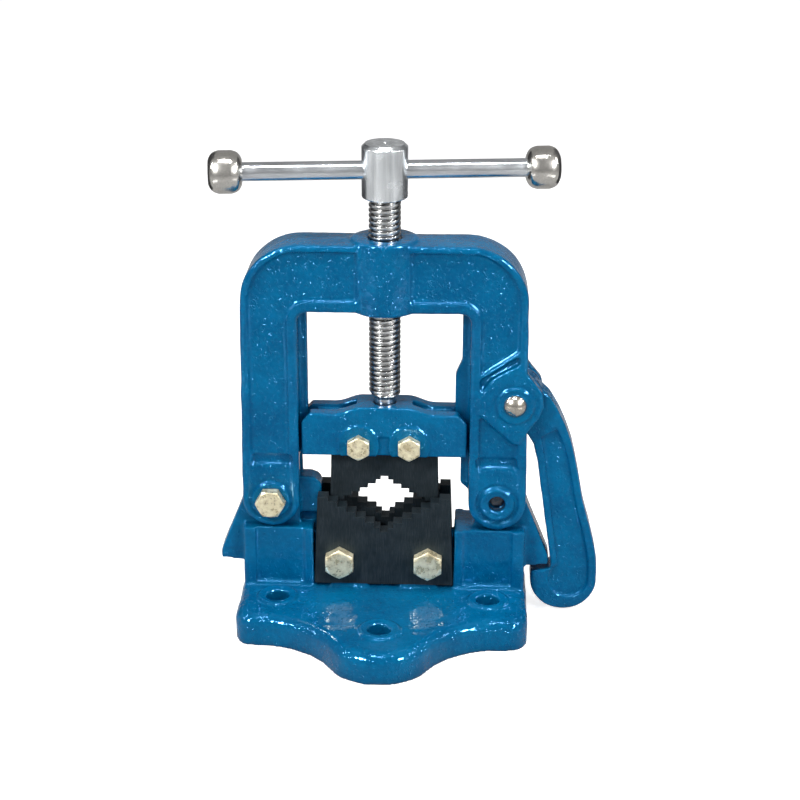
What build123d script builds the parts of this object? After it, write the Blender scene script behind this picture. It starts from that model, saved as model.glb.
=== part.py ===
from build123d import *
from math import sqrt, tan, radians
import os

# Hinged yoke pipe vise. X runs right, Y runs to the back, Z runs up, in millimetres.
# The origin is on the underside of the base, on the axis of the clamp screw.

# Base plate
plate_half_width = 88.5
plate_thickness = 19.0
plate_front = 59.0
plate_back = 27.0
plate_corner_radius = 12.0
plate_edge_round = 7.0
lobe_reach = 102.0
lobe_radius = 33.0
lobe_blend_radius = 52.0
mount_hole_radius = 6.75
mount_hole_round = 1.0
mount_rim_radius = 11.5
mount_rim_height = 1.0
mount_rim_round = 0.6
side_hole_x = 64.5
side_hole_y = 31.0
front_hole_y = 70.5

# Uprights of the base and the web between them
upright_inner = 43.2
upright_width = 43.3
upright_depth = 34.0
upright_top = 58.3
upright_round = 1.5
upright_foot_round = 1.6
upright_panel_inner_rim = 5.6
upright_panel_outer_rim = 7.5
upright_panel_foot = 2.0
upright_panel_depth = 1.8
upright_panel_radius = 2.5
web_top = 50.0
pad_height = 1.5
pad_inner = 10.0
pad_width = 23.0
pad_overhang = 2.0

# Hinge between base and yoke
hinge_x = 69.0
hinge_z = 76.2
tongue_thickness = 16.0
tongue_radius = 17.0
tongue_side_clearance = 0.3
leg_end_radius = 17.6
fork_slot_rise = 27.0
right_tongue_inner = 55.6
right_slot_clearance = 2.0
hinge_bolt_radius = 4.9
hinge_hole_radius = 5.0
hinge_ring_radius = 11.2
hinge_ring_height = 0.6
leg_pad_half_width = 13.4
leg_pad_top = 98.6
leg_pad_arch = 1.4
leg_pad_depth = 1.2
leg_band_depth = 3.6
heel_reach = 30.5
heel_top_rise = 12.2
heel_bottom_drop = 11.8
heel_radius = 8.0
heel_thickness = 12.0
heel_web_thickness = 8.0
heel_web_setback = 3.0

# Latch hooks of the base
hook_tip_x = 101.8
hook_tip_bottom = 33.0
hook_tip_top = 37.5
hook_root_bottom = 30.8
hook_slope_top_x = 87.3
hook_slope_top = 74.0

# Yoke
yoke_top = 238.8
yoke_half_width_top = 84.4
yoke_corner_radius = 36.0
yoke_depth = 30.0
yoke_edge_round = 2.2
window_half_width = 51.4
window_top = 197.5
window_corner_radius = 6.0
boss_radius = 20.0
boss_top = 240.6
boss_bottom = 196.4
boss_edge_round = 1.5
rim_outer = 4.1
rim_inner = 5.9
rim_top = 3.8
rim_window = 7.0
panel_depth = 2.4
panel_corner_radius = 12.0
panel_bottom = 106.3
panel_boss_gap = 15.9
bead_width = 2.2
bead_low_z = 156.2
bead_high_z = 173.6
rib_thickness = 6.2
rib_inner = 46.4
rib_bottom_left = 101.0
rib_bottom_right = 85.0
rib_bulge_inner = 42.6
rib_bulge_bottom = 119.0
rib_bulge_top = 165.0
rib_bulge_slope = 9.0

# Latch and the ears that carry it
pin_x = 78.3
pin_z = 141.7
pin_radius = 4.5
pin_hole_radius = 4.6
pin_head_radius = 7.0
pin_head_height = 4.2
ear_face = 16.4
ear_round = 1.2
ear_ring_radius = 10.6
ear_corner_radius = 3.5
ear_corners = [
    (-22.0, 4.6), (-13.8, 16.8), (1.0, 25.4), (6.4, 20.4), (16.3, 7.8),
    (17.3, -0.7), (14.3, -8.1), (1.5, -27.4), (-22.0, -6.2),
]
ear_ring_height = 0.8
pocket_radius = 27.0
pocket_wall_x = 58.8
latch_thickness = 16.0
latch_side_clearance = 0.4
latch_eye_radius = 17.5
latch_panel_depth = 2.2
latch_edge_round = 1.0
latch_foot_radius = 18.6
latch_foot_x = 113.2
latch_foot_z = 20.6
hook_gap = 3.0
latch_hook_reach = 21.6

# Clamp screw, hub and bar
screw_radius = 9.5
screw_running_clearance = 0.1
screw_nose_radius = 6.5
screw_nose_end = 124.0
screw_nose_top = 143.0
nose_clearance = 0.1
nose_end_clearance = 0.3
nose_groove_radius = 4.9
nose_groove_z = 129.6
nose_pin_radius = 1.5
nose_pin_depth = 19.0
hub_radius = 13.55
hub_bottom = 264.5
hub_top = 296.5
hub_chamfer = 2.0
hub_spigot_radius = 8.0
hub_spigot_length = 8.5
hub_pin_radius = 1.5
hub_pin_rise = 4.3
centre_mark_radius = 1.3
bar_radius = 5.5
bar_hole_clearance = 0.15
bar_axis_z = 280.7
bar_turn = 6.0
bar_half_length = 101.4
ball_radius = 12.5
ball_length = 19.4
ball_band = 8.0
ball_face_radius = 7.3
ball_spigot_radius = 4.0
ball_spigot_length = 14.0

# Jaw carrier
carrier_half_width = 50.0
carrier_depth = 24.0
carrier_bottom = 105.4
carrier_top = 132.6
carrier_hump_top = 136.9
carrier_hump_half_width = 13.0
carrier_shoulder_half_width = 31.0
carrier_corner = 5.5
carrier_round = 1.2
guide_clearance = 0.2
guide_groove_depth = 8.7
carrier_ring_radius = 12.6
carrier_ring_height = 0.9
carrier_notch_width = 10.0
carrier_notch_height = 12.5
carrier_notch_depth = 1.3
top_groove_depth = 2.0
top_groove_inner = 17.0

# Jaws
jaw_fit = 0.3
upper_jaw_thickness = 12.0
upper_jaw_half_width = 32.4
upper_jaw_spread = 0.8
upper_jaw_top = 120.0
upper_jaw_bottom = 73.6
upper_notch_half_width = 2.3
upper_notch_z = 89.8
upper_tooth_first = 5.3
upper_tooth_width = 4.9
upper_tooth_height = 2.85
upper_tooth_count = 5
notch_step_share = 0.8
upper_bolt_x = 15.3
upper_bolt_z = 112.3
lower_jaw_thickness = 9.0
lower_jaw_half_width_top = 40.5
lower_jaw_half_width_bottom = 42.8
lower_jaw_top = 78.8
lower_notch_half_width = 2.4
lower_notch_z = 56.4
lower_tooth_first = 5.8
lower_tooth_width = 5.65
lower_tooth_height = 3.4
lower_tooth_count = 6
lower_bolt_x = 27.2
lower_bolt_z = 36.0

# Fasteners: across flats, head height and nut height
m8_flats, m8_head, m8_nut, m8_radius = 13.0, 5.3, 6.5, 3.95
m10_flats, m10_head, m10_nut, m10_radius = 17.0, 6.4, 8.0, 4.95
hinge_bolt_flats, hinge_bolt_head, hinge_nut_height = 16.0, 6.4, 8.0
washer_thickness = 2.0
hinge_washer_radius = 10.0
pin_washer_radius = 8.5
pin_washer_thickness = 1.5
bolt_hole_clearance = 0.3
thread_stub = 2.5
head_face_share = 0.475
pivot_end_clearance = 0.3

# Places that follow from the sizes above
half_tongue = tongue_thickness / 2
half_fork_slot = half_tongue + tongue_side_clearance
upright_outer = upright_inner + upright_width
half_yoke = yoke_depth / 2
half_upper_jaw = upper_jaw_thickness / 2
lower_jaw_inner_y = half_upper_jaw + jaw_fit
lower_jaw_outer_y = lower_jaw_inner_y + lower_jaw_thickness
lower_jaw_bottom = plate_thickness + pad_height
hinge_half_width = hinge_x + leg_end_radius
hinge_ring_face = half_yoke + hinge_ring_height
carrier_ring_face = carrier_depth / 2 + carrier_ring_height
ear_inner = latch_thickness / 2 + latch_side_clearance
ear_ring_face = ear_face + ear_ring_height
hub_spigot_top = hub_bottom + hub_spigot_length


def front_plane(y):
    """Upright plane that looks to the front, y behind the screw axis."""
    return Plane(origin=(0, y, 0), x_dir=(1, 0, 0), z_dir=(0, -1, 0))


def stepped_vee(notch_half_width, notch_z, first, width, height, count, rise):
    """Points of a toothed V from its notch outwards, rising or falling by rise."""
    points = [(0, notch_z), (notch_half_width, notch_z)]
    level = notch_z + rise * height * notch_step_share
    half_width = first
    points.append((notch_half_width, level))
    for _ in range(count):
        points.append((half_width, level))
        level += rise * height
        points.append((half_width, level))
        half_width += width
    return points


def hex_bolt(flats, head_height, shank_radius, shank_length, turn):
    """Hex bolt along Y: its head in front of the origin, its shank behind."""
    corner_radius = flats / sqrt(3)
    face_radius = head_face_share * flats
    corner_drop = (corner_radius - face_radius) * tan(radians(30))
    with BuildPart() as bolt:
        with BuildSketch(Plane.XZ):
            RegularPolygon(corner_radius, 6, rotation=turn)
        extrude(amount=head_height)
        with BuildSketch(Plane.XY):
            with BuildLine():
                Polyline(
                    (0, 0), (corner_radius, 0), (corner_radius, corner_drop - head_height),
                    (face_radius, -head_height), (0, -head_height), close=True,
                )
            make_face()
        revolve(axis=Axis.Y, mode=Mode.INTERSECT)
        with BuildSketch(Plane.XZ):
            Circle(shank_radius)
        extrude(amount=-shank_length)
    return bolt.part


def hex_nut(flats, height, hole_radius):
    """Hex nut along Y, its seat at the origin and its body behind."""
    with BuildPart() as nut:
        with BuildSketch(Plane.XZ):
            RegularPolygon(flats / sqrt(3), 6)
            Circle(hole_radius, mode=Mode.SUBTRACT)
        extrude(amount=-height)
    return nut.part


def flat_washer(radius, thickness, hole_radius):
    """Washer along Y, its seat at the origin and its body behind."""
    with BuildPart() as washer:
        with BuildSketch(Plane.XZ):
            Circle(radius)
            Circle(hole_radius, mode=Mode.SUBTRACT)
        extrude(amount=-thickness)
    return washer.part


def save(piece, name):
    piece.label = name
    export_step(piece, f"parts/{name}.step")


os.makedirs("parts", exist_ok=True)

# Base: plate outline, half of it drawn and mirrored
lobe_centre_y = lobe_radius - lobe_reach
blend_centre_y = -plate_front - lobe_blend_radius
blend_centre_x = sqrt((lobe_radius + lobe_blend_radius) ** 2 - (blend_centre_y - lobe_centre_y) ** 2)
lobe_share = lobe_radius / (lobe_radius + lobe_blend_radius)
lobe_tangent = (
    blend_centre_x * lobe_share,
    lobe_centre_y + (blend_centre_y - lobe_centre_y) * lobe_share,
)

with BuildPart() as base:
    with BuildSketch():
        with BuildLine():
            RadiusArc((0, -lobe_reach), lobe_tangent, -lobe_radius)
            RadiusArc(lobe_tangent, (blend_centre_x, -plate_front), lobe_blend_radius)
            FilletPolyline(
                (blend_centre_x, -plate_front), (plate_half_width, -plate_front),
                (plate_half_width, plate_back), (0, plate_back), radius=plate_corner_radius,
            )
            mirror(about=Plane.YZ)
        make_face()
    extrude(amount=plate_thickness)
    fillet(base.faces().sort_by(Axis.Z)[-1].edges(), plate_edge_round)

    # Two uprights, each with a shallow panel at the front and the back
    with BuildSketch(Plane.XY.offset(plate_thickness - plate_edge_round)):
        with Locations((upright_inner + upright_width / 2, 0), (-upright_inner - upright_width / 2, 0)):
            Rectangle(upright_width, upright_depth)
    extrude(amount=upright_top - plate_thickness + plate_edge_round)
    upright_columns = base.edges().filter_by(Axis.Z).filter_by_position(
        Axis.Z, plate_thickness, upright_top, inclusive=(False, False)
    )
    fillet(upright_columns, upright_round)
    foot_y = upright_depth / 2
    foot_length = plate_half_width - plate_edge_round - upright_inner
    for hand in (-1, 1):
        with BuildSketch(Plane.YZ.offset(hand * upright_inner)):
            for side in (-1, 1):
                with BuildLine():
                    Line((side * foot_y, plate_thickness + upright_foot_round), (side * foot_y, plate_thickness))
                    Line((side * foot_y, plate_thickness), (side * (foot_y + upright_foot_round), plate_thickness))
                    RadiusArc(
                        (side * (foot_y + upright_foot_round), plate_thickness),
                        (side * foot_y, plate_thickness + upright_foot_round),
                        side * upright_foot_round,
                    )
                make_face()
        extrude(amount=hand * foot_length)
    panel_width = upright_width - upright_panel_inner_rim - upright_panel_outer_rim
    panel_x = upright_inner + upright_panel_inner_rim + panel_width / 2
    upright_panel_height = upright_top + upright_panel_radius - plate_thickness - upright_panel_foot
    panel_z = plate_thickness + upright_panel_foot + upright_panel_height / 2
    for side in (-1, 1):
        with BuildSketch(front_plane(side * upright_depth / 2)):
            with Locations((panel_x, panel_z), (-panel_x, panel_z)):
                RectangleRounded(panel_width, upright_panel_height, upright_panel_radius)
        extrude(amount=side * upright_panel_depth, mode=Mode.SUBTRACT)

    # Middle plate: hinge tongues, latch hooks and what joins them to the uprights
    with BuildSketch(Plane.XZ):
        for side in (-1, 1):
            with BuildLine():
                Polyline(
                    (side * upright_inner, plate_thickness),
                    (side * upright_outer, plate_thickness),
                    (side * upright_outer, hook_root_bottom),
                    (side * hook_tip_x, hook_tip_bottom),
                    (side * hook_tip_x, hook_tip_top),
                    (side * hook_slope_top_x, hook_slope_top),
                    (side * (hinge_x + tongue_radius * 0.7), hinge_z + tongue_radius * 0.7),
                    (side * (hinge_x - tongue_radius), hinge_z),
                    (side * (hinge_x - tongue_radius), upright_top),
                    (side * upright_inner, upright_top),
                    close=True,
                )
            make_face()
        with Locations((hinge_x, hinge_z), (-hinge_x, hinge_z)):
            Circle(tongue_radius)
    extrude(amount=half_tongue, both=True)

    # Flat flank of the right tongue, where the closed end of the yoke's slot comes down past it
    flank_height = tongue_radius + hinge_z - upright_top
    with Locations((right_tongue_inner - tongue_radius, 0, upright_top + flank_height / 2)):
        Box(2 * tongue_radius, 3 * half_tongue, flank_height, mode=Mode.SUBTRACT)

    # Heel of the left tongue, a rounded lug that reaches in towards the jaw
    heel_tip_x = heel_reach - hinge_x
    with BuildSketch(Plane.XZ):
        with BuildLine():
            FilletPolyline(
                (-hinge_x, hinge_z - heel_bottom_drop), (heel_tip_x, hinge_z - heel_bottom_drop),
                (heel_tip_x, hinge_z + heel_top_rise), (-hinge_x, hinge_z + heel_top_rise),
                radius=(heel_radius / 4, heel_radius),
            )
            Line((-hinge_x, hinge_z + heel_top_rise), (-hinge_x, hinge_z - heel_bottom_drop))
        make_face()
    extrude(amount=heel_thickness / 2, both=True)
    heel_web_x = (heel_tip_x - heel_web_setback - hinge_x) / 2
    heel_web_z = (plate_thickness + hinge_z) / 2
    with Locations((heel_web_x, 0, heel_web_z)):
        Box(heel_reach - heel_web_setback, heel_web_thickness, hinge_z - plate_thickness)

    # Web that the lower jaw plates are bolted against, and the pads under them
    with Locations((0, 0, (plate_thickness + web_top) / 2)):
        Box(2 * upright_inner + 1, 2 * lower_jaw_inner_y, web_top - plate_thickness)
    pad_depth = 2 * (lower_jaw_outer_y + pad_overhang)
    for side in (-1, 1):
        with Locations((side * (pad_inner + pad_width / 2), 0, plate_thickness + pad_height / 2)):
            Box(pad_width, pad_depth, pad_height)

    # Holes: three for mounting, one in each tongue, two for the lower jaw bolts
    mount_rim_top = plate_thickness + mount_rim_height
    mount_places = [(-side_hole_x, -side_hole_y), (side_hole_x, -side_hole_y), (0, -front_hole_y)]
    with BuildSketch(Plane.XY.offset(plate_thickness)):
        with Locations(*mount_places):
            Circle(mount_rim_radius)
    extrude(amount=mount_rim_height)
    with Locations(*[(x, y, mount_rim_top) for x, y in mount_places]):
        Hole(mount_hole_radius, mount_rim_top)
    mount_rims = base.edges().filter_by(GeomType.CIRCLE).filter_by_position(
        Axis.Z, mount_rim_top - 0.01, mount_rim_top + 0.01
    )
    fillet([rim for rim in mount_rims if abs(rim.radius - mount_hole_radius) < 0.01], mount_hole_round)
    fillet([rim for rim in mount_rims if abs(rim.radius - mount_rim_radius) < 0.01], mount_rim_round)
    with BuildSketch(Plane.XZ):
        with Locations((hinge_x, hinge_z), (-hinge_x, hinge_z)):
            Circle(hinge_hole_radius)
        with Locations((lower_bolt_x, lower_bolt_z), (-lower_bolt_x, lower_bolt_z)):
            Circle(m10_radius + bolt_hole_clearance)
    extrude(amount=upright_depth, both=True, mode=Mode.SUBTRACT)

# The base is one casting, stored as four simple solids that meet face to face: the plate with its web,
# the two uprights with their tongues and hooks, and the heel
region_span = 4 * plate_half_width
region_depth = upright_depth + 2 * upright_foot_round + 1
upright_regions = {}
for hand, region_name in ((-1, "left_upright"), (1, "right_upright")):
    with BuildPart() as upright_region:
        with Locations((hand * (upright_inner + region_span / 2), 0, plate_thickness + region_span / 2)):
            Box(region_span, region_depth, region_span)
    upright_regions[region_name] = upright_region.part
with BuildPart() as heel_region:
    for region_inner, region_floor in ((hinge_x - tongue_radius, upright_top), (upright_inner, web_top)):
        with Locations((-region_inner / 2, 0, region_floor + region_span / 2)):
            Box(region_inner, region_span, region_span)
with BuildPart() as base_plate:
    add(base.part)
    add(heel_region.part, mode=Mode.SUBTRACT)
    for upright_box in upright_regions.values():
        add(upright_box, mode=Mode.SUBTRACT)
save(base_plate.part, "base")
for region_name, upright_box in upright_regions.items():
    with BuildPart() as base_upright:
        add(base.part)
        add(upright_box, mode=Mode.INTERSECT)
        add(heel_region.part, mode=Mode.SUBTRACT)
    save(base_upright.part, region_name)
with BuildPart() as hinge_heel:
    add(base.part)
    add(heel_region.part, mode=Mode.INTERSECT)
save(hinge_heel.part, "hinge_heel")

# Lower jaw: two toothed plates, one each side of the web
lower_teeth = stepped_vee(
    lower_notch_half_width, lower_notch_z, lower_tooth_first,
    lower_tooth_width, lower_tooth_height, lower_tooth_count, 1,
)
for side, name in ((-1, "lower_jaw_front"), (1, "lower_jaw_back")):
    with BuildPart() as lower_jaw:
        with BuildSketch(front_plane(side * lower_jaw_inner_y)):
            with BuildLine():
                Polyline(
                    *lower_teeth[:-1], (lower_teeth[-1][0], lower_jaw_top),
                    (lower_jaw_half_width_top, lower_jaw_top),
                    (lower_jaw_half_width_bottom, lower_jaw_bottom), (0, lower_jaw_bottom),
                )
                mirror(about=Plane.YZ)
            make_face()
            with Locations((lower_bolt_x, lower_bolt_z), (-lower_bolt_x, lower_bolt_z)):
                Circle(m10_radius + bolt_hole_clearance, mode=Mode.SUBTRACT)
        extrude(amount=-side * lower_jaw_thickness)
    save(lower_jaw.part, name)

lower_grip = 2 * lower_jaw_outer_y
lower_places = [(x, -lower_jaw_outer_y, lower_bolt_z) for x in (-lower_bolt_x, lower_bolt_x)]
m10_bolt = hex_bolt(m10_flats, m10_head, m10_radius, lower_grip + m10_nut + thread_stub, 30)
with BuildPart() as lower_jaw_bolts:
    with Locations(lower_places):
        add(m10_bolt)
save(lower_jaw_bolts.part, "lower_jaw_bolts")
m10_hex_nut = hex_nut(m10_flats, m10_nut, m10_radius)
with BuildPart() as lower_jaw_nuts:
    with Locations([(x, y + lower_grip, z) for x, y, z in lower_places]):
        add(m10_hex_nut)
save(lower_jaw_nuts.part, "lower_jaw_nuts")

# Yoke: an arch with forked legs; half its outline drawn and mirrored
with BuildPart() as yoke:
    with BuildSketch(Plane.XZ):
        with BuildLine():
            FilletPolyline(
                (0, yoke_top), (yoke_half_width_top, yoke_top), (hinge_half_width, hinge_z),
                radius=yoke_corner_radius,
            )
            RadiusArc((hinge_half_width, hinge_z), (hinge_x - leg_end_radius, hinge_z), leg_end_radius)
            FilletPolyline(
                (hinge_x - leg_end_radius, hinge_z), (window_half_width, window_top), (0, window_top),
                radius=window_corner_radius,
            )
            mirror(about=Plane.YZ)
        make_face()
    extrude(amount=half_yoke, both=True)
    fillet(yoke.faces().filter_by(Axis.Y).edges(), yoke_edge_round)

    # Sunk panels on both faces, shaped by the rims that stay round them
    rim_left = window_half_width + rim_inner
    rim_right = yoke_half_width_top - rim_outer
    rim_high = yoke_top - rim_top
    rim_low = window_top + rim_window
    for side in (-1, 1):
        with BuildSketch(front_plane(side * half_yoke)):
            for hand in (-1, 1):
                with BuildLine():
                    FilletPolyline(
                        (hand * panel_boss_gap, rim_high), (hand * rim_right, rim_high),
                        (hand * rim_right, panel_bottom), (hand * rim_left, panel_bottom),
                        (hand * rim_left, rim_low), (hand * panel_boss_gap, rim_low),
                        radius=(yoke_corner_radius - rim_outer, 2, 2, panel_corner_radius),
                    )
                    Line((hand * panel_boss_gap, rim_low), (hand * panel_boss_gap, rim_high))
                make_face()
        extrude(amount=side * panel_depth, mode=Mode.SUBTRACT)

    # Foot of each leg: a sunk pad with an arched top, below a deeper band that ends the panel
    pad_end = leg_pad_top + leg_pad_arch + 1
    for side in (-1, 1):
        for hand in (-1, 1):
            pad_x = hand * hinge_x
            pad_left, pad_right = pad_x - leg_pad_half_width, pad_x + leg_pad_half_width
            with BuildSketch(front_plane(side * half_yoke)):
                with BuildLine():
                    ThreePointArc((pad_left, hinge_z), (pad_x, hinge_z - leg_pad_half_width), (pad_right, hinge_z))
                    Polyline((pad_right, hinge_z), (pad_right, pad_end), (pad_left, pad_end), (pad_left, hinge_z))
                make_face()
            extrude(amount=side * leg_pad_depth, mode=Mode.SUBTRACT)
            band_left = pad_x + leg_pad_half_width if hand < 0 else pad_x - leg_pad_half_width
            band_right = hand * rim_right
            with BuildSketch(front_plane(side * half_yoke)):
                with BuildLine():
                    ThreePointArc((band_left, leg_pad_top), ((band_left + band_right) / 2, leg_pad_top + leg_pad_arch),
                                  (band_right, leg_pad_top))
                    Polyline((band_right, leg_pad_top), (band_right, panel_bottom), (band_left, panel_bottom),
                             (band_left, leg_pad_top))
                make_face()
            extrude(amount=side * leg_band_depth, mode=Mode.SUBTRACT)

    # Slanted bead across the right leg's panels, above the latch ears
    bead_low_x, bead_high_x = rim_left - 1, rim_right + 1
    for side in (-1, 1):
        with BuildSketch(front_plane(side * half_yoke)):
            with BuildLine():
                Polyline((bead_low_x, bead_low_z), (bead_high_x, bead_high_z), (bead_high_x, bead_high_z + bead_width),
                         (bead_low_x, bead_low_z + bead_width), close=True)
            make_face()
        extrude(amount=side * panel_depth)

    # Screw boss
    with BuildSketch(Plane.XY.offset(boss_bottom)):
        Circle(boss_radius)
    extrude(amount=boss_top - boss_bottom)
    boss_rims = yoke.edges().filter_by(GeomType.CIRCLE).filter_by_position(
        Axis.Z, boss_top - 0.01, boss_top + 0.01
    )
    fillet(boss_rims, boss_edge_round)

    # Guide ribs inside the legs; the right one is thicker beside the latch pocket
    with BuildSketch(Plane.XZ):
        with BuildLine():
            Polyline(
                (-window_half_width - 1, rib_bottom_left - 5), (-rib_inner, rib_bottom_left),
                (-rib_inner, window_top + 1), (-window_half_width - 1, window_top + 1), close=True,
            )
        make_face()
        with BuildLine():
            Polyline(
                (window_half_width + 1, rib_bottom_right - 5), (rib_inner, rib_bottom_right),
                (rib_inner, rib_bulge_bottom - rib_bulge_slope), (rib_bulge_inner, rib_bulge_bottom),
                (rib_bulge_inner, rib_bulge_top - rib_bulge_slope), (rib_inner, rib_bulge_top),
                (rib_inner, window_top + 1), (window_half_width + 1, window_top + 1), close=True,
            )
        make_face()
    extrude(amount=rib_thickness / 2, both=True)

    # Ears for the latch, one at each face of the right leg
    for side in (-1, 1):
        with BuildSketch(front_plane(side * ear_inner)):
            with BuildLine():
                FilletPolyline(
                    *[(pin_x + dx, pin_z + dz) for dx, dz in ear_corners], radius=ear_corner_radius, close=True,
                )
            make_face()
        extrude(amount=-side * (ear_face - ear_inner))
        ear_plate = yoke.faces().filter_by(Axis.Y).sort_by(Axis.Y)[0 if side < 0 else -1]
        fillet(ear_plate.edges(), ear_round)
        with BuildSketch(front_plane(side * ear_face)):
            with Locations((pin_x, pin_z)):
                Circle(ear_ring_radius)
        extrude(amount=-side * ear_ring_height)
        with BuildSketch(front_plane(side * (half_yoke - leg_pad_depth))):
            with Locations((hinge_x, hinge_z), (-hinge_x, hinge_z)):
                Circle(hinge_ring_radius)
        extrude(amount=-side * (leg_pad_depth + hinge_ring_height))

    # Fork slots in both legs, the right one closed towards the window, and the latch's pocket
    slot_top = hinge_z + fork_slot_rise
    slot_length = 4 * leg_end_radius
    right_slot_x = right_tongue_inner - right_slot_clearance + slot_length / 2
    with Locations((right_slot_x, 0, slot_top / 2), (-hinge_x, 0, slot_top / 2)):
        Box(slot_length, 2 * half_fork_slot, slot_top, mode=Mode.SUBTRACT)
    with BuildSketch(Plane.XZ):
        with Locations((pin_x, pin_z)):
            Circle(pocket_radius)
        with Locations((pocket_wall_x - pocket_radius, pin_z)):
            Rectangle(2 * pocket_radius, 2 * pocket_radius, mode=Mode.SUBTRACT)
    extrude(amount=ear_inner, both=True, mode=Mode.SUBTRACT)

    # Bores: hinge holes in both legs, latch pin, clamp screw
    with BuildSketch(Plane.XZ):
        with Locations((hinge_x, hinge_z), (-hinge_x, hinge_z)):
            Circle(hinge_hole_radius)
        with Locations((pin_x, pin_z)):
            Circle(pin_hole_radius)
    extrude(amount=2 * ear_face, both=True, mode=Mode.SUBTRACT)
    with BuildSketch(Plane.XY.offset(boss_bottom - 1)):
        Circle(screw_radius + screw_running_clearance)
    extrude(amount=boss_top - boss_bottom + 2, mode=Mode.SUBTRACT)
save(yoke.part, "yoke")

# Hinge bolt through the left leg, with a washer and a nut behind
hinge_seat_y = hinge_ring_face + pivot_end_clearance
hinge_shank = 2 * hinge_seat_y + washer_thickness + hinge_nut_height + thread_stub
pivot_bolt = hex_bolt(hinge_bolt_flats, hinge_bolt_head, hinge_bolt_radius, hinge_shank, 0)
with BuildPart() as hinge_bolt:
    with Locations((-hinge_x, -hinge_seat_y, hinge_z)):
        add(pivot_bolt)
save(hinge_bolt.part, "hinge_bolt")
pivot_washer = flat_washer(hinge_washer_radius, washer_thickness, hinge_bolt_radius)
with BuildPart() as hinge_washer:
    with Locations((-hinge_x, hinge_seat_y, hinge_z)):
        add(pivot_washer)
save(hinge_washer.part, "hinge_washer")
pivot_nut = hex_nut(hinge_bolt_flats, hinge_nut_height, hinge_bolt_radius)
with BuildPart() as hinge_nut:
    with Locations((-hinge_x, hinge_seat_y + washer_thickness, hinge_z)):
        add(pivot_nut)
save(hinge_nut.part, "hinge_nut")

# Latch: an eye in the pocket, a cranked arm and a hook under the base
hook_top_tip = hook_root_bottom - hook_gap
hook_top_root = hook_tip_bottom - hook_gap
hook_tip = (latch_foot_x - latch_hook_reach, hook_top_tip)
foot_outer = (latch_foot_x + 18.4, latch_foot_z + 3.4)
shoulder = (pin_x + 20.1, pin_z + 3.3)
panel_start = (pin_x + 16.5, pin_z - 23.7)
panel_end = (pin_x + 25.7, pin_z - 18.2)
panel_heel = (hook_tip_x + 5.6, hook_tip_bottom)
panel_toe = (latch_foot_x + 13.4, latch_foot_z + 3.4)
with BuildPart() as latch:
    with BuildSketch(Plane.XZ) as latch_outline:
        with BuildLine():
            Polyline(
                (pin_x - 1.3, pin_z - 17.4), (pin_x + 8.2, pin_z - 21.7), (pin_x + 12.0, pin_z - 28.2),
                (pin_x + 14.6, pin_z - 38.7), (hook_tip_x - 2.0, hook_tip_top + 18.5),
                (hook_tip_x + 1.2, hook_tip_top - 2.7), (hook_tip_x + 1.4, hook_top_root), hook_tip,
            )
            ThreePointArc(hook_tip, (latch_foot_x, latch_foot_z - latch_foot_radius), foot_outer)
            Spline(foot_outer, (latch_foot_x + 9.0, latch_foot_z + 52.9), (pin_x + 34.9, pin_z - 27.2),
                   shoulder, tangents=((0.05, 1), (-0.7, 0.9)))
            Polyline(shoulder, (pin_x + 6.2, pin_z + 16.3), (pin_x - 1.3, pin_z - 17.4))
        make_face()
        with Locations((pin_x, pin_z)):
            Circle(latch_eye_radius)
    extrude(amount=latch_thickness / 2, both=True)
    fillet(latch.faces().filter_by(Axis.Y).edges(), latch_edge_round)
    for side in (-1, 1):
        with BuildSketch(front_plane(side * latch_thickness / 2)):
            with BuildLine():
                Polyline(panel_start, (pin_x + 19.1, pin_z - 38.7),
                         (hook_tip_x + 2.4, hook_tip_top + 18.5), panel_heel)
                ThreePointArc(panel_heel, (latch_foot_x, latch_foot_z - 10.1), panel_toe)
                Spline(panel_toe, (latch_foot_x + 4.4, latch_foot_z + 51.9), (pin_x + 30.5, pin_z - 29.2),
                       panel_end, tangents=((0.05, 1), (-0.5, 0.9)))
                Line(panel_end, panel_start)
            make_face()
        extrude(amount=side * latch_panel_depth, mode=Mode.SUBTRACT)
    with BuildSketch(Plane.XZ):
        with Locations((pin_x, pin_z)):
            Circle(pin_hole_radius)
    extrude(amount=latch_thickness, both=True, mode=Mode.SUBTRACT)
save(latch.part, "latch")

# Latch pin: a rivet with a domed head at each end, the rear one closed on a washer
with BuildPart() as latch_pin:
    rear_seat = ear_ring_face + pin_washer_thickness
    dome_radius = (pin_head_radius ** 2 + pin_head_height ** 2) / (2 * pin_head_height)
    with BuildSketch(Plane.XY):
        with BuildLine():
            Polyline((0, -ear_ring_face - pin_head_height), (0, rear_seat + pin_head_height))
            RadiusArc((0, rear_seat + pin_head_height), (pin_head_radius, rear_seat), dome_radius)
            Polyline((pin_head_radius, rear_seat), (pin_radius, rear_seat),
                     (pin_radius, -ear_ring_face), (pin_head_radius, -ear_ring_face))
            RadiusArc((pin_head_radius, -ear_ring_face), (0, -ear_ring_face - pin_head_height), dome_radius)
        make_face()
    revolve(axis=Axis.Y)
with BuildPart() as placed_latch_pin:
    with Locations((pin_x, 0, pin_z)):
        add(latch_pin.part)
save(placed_latch_pin.part, "latch_pin")
rivet_washer = flat_washer(pin_washer_radius, pin_washer_thickness, pin_radius)
with BuildPart() as latch_pin_washer:
    with Locations((pin_x, ear_ring_face, pin_z)):
        add(rivet_washer)
save(latch_pin_washer.part, "latch_pin_washer")

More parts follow.
